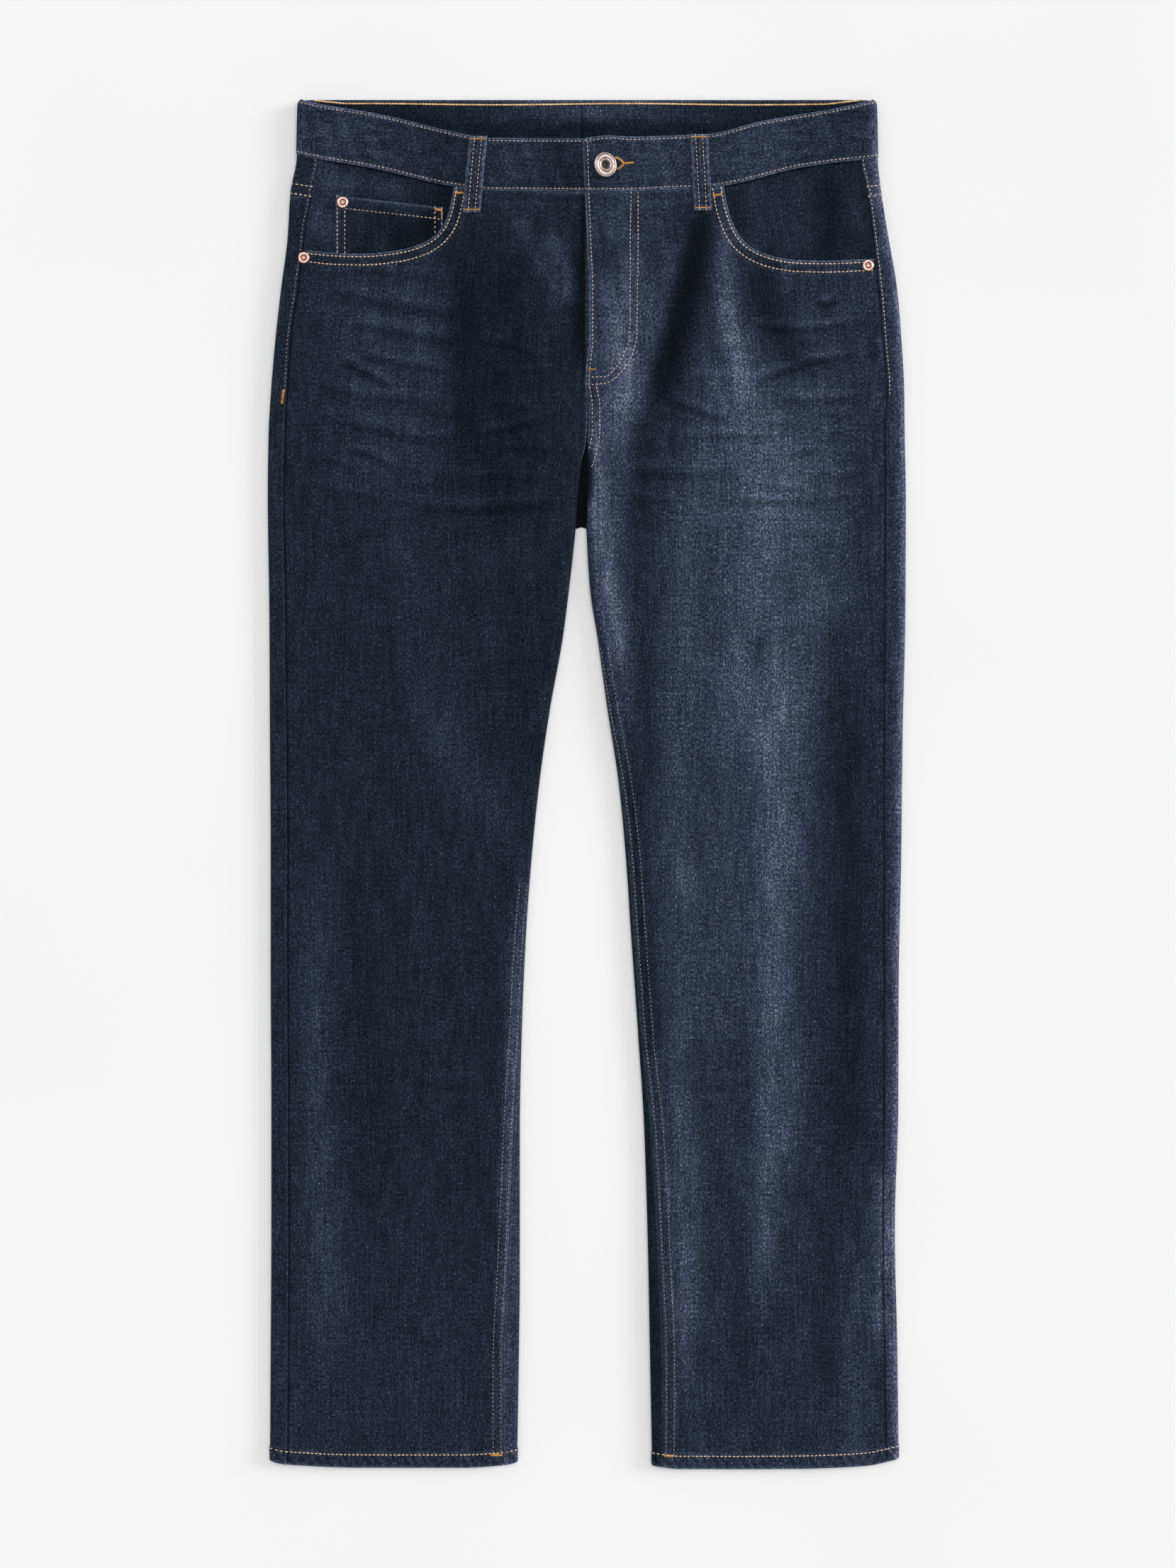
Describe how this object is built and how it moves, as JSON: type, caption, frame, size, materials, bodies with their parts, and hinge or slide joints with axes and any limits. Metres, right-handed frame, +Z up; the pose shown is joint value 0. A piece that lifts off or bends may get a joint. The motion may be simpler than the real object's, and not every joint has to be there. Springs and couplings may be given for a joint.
{
  "type": "straight leg jeans",
  "caption": "Straight leg denim jeans laid flat on their back, button closed, with scooped front pockets, a coin pocket, yokes, patch back pockets and belt loops.",
  "frame": {"origin": "on the surface the jeans lie on, under the middle of their outline", "axes": "+Y from the hems towards the waist, +X towards the wearer's left leg, +Z up out of the front of the jeans"},
  "size_m": [0.5009, 1.0756, 0.0241],
  "materials": {
    "denim": "dark indigo washed denim, twill weave, slightly faded on the thighs",
    "facing_denim": "dark indigo denim, unworn",
    "button_metal": "antique silver",
    "rivet_metal": "antique copper"
  },
  "bodies": {
    "root": {"front_right": "denim", "front_left": "denim", "back_right": "denim", "back_left": "denim", "yoke_right": "denim", "yoke_left": "denim", "waistband_right": "denim", "waistband_left": "denim", "fly": "denim", "facing_right": "facing_denim", "facing_left": "facing_denim", "coin_pocket": "facing_denim", "back_pocket_right": "denim", "back_pocket_left": "denim", "loop_front_right": "denim", "loop_front_left": "denim", "loop_back_right": "denim", "loop_back_left": "denim", "loop_back_centre": "denim", "button": "button_metal", "rivet_coin": "rivet_metal", "rivet_pocket_right": "rivet_metal", "rivet_pocket_left": "rivet_metal"}
  },
  "joints": []
}
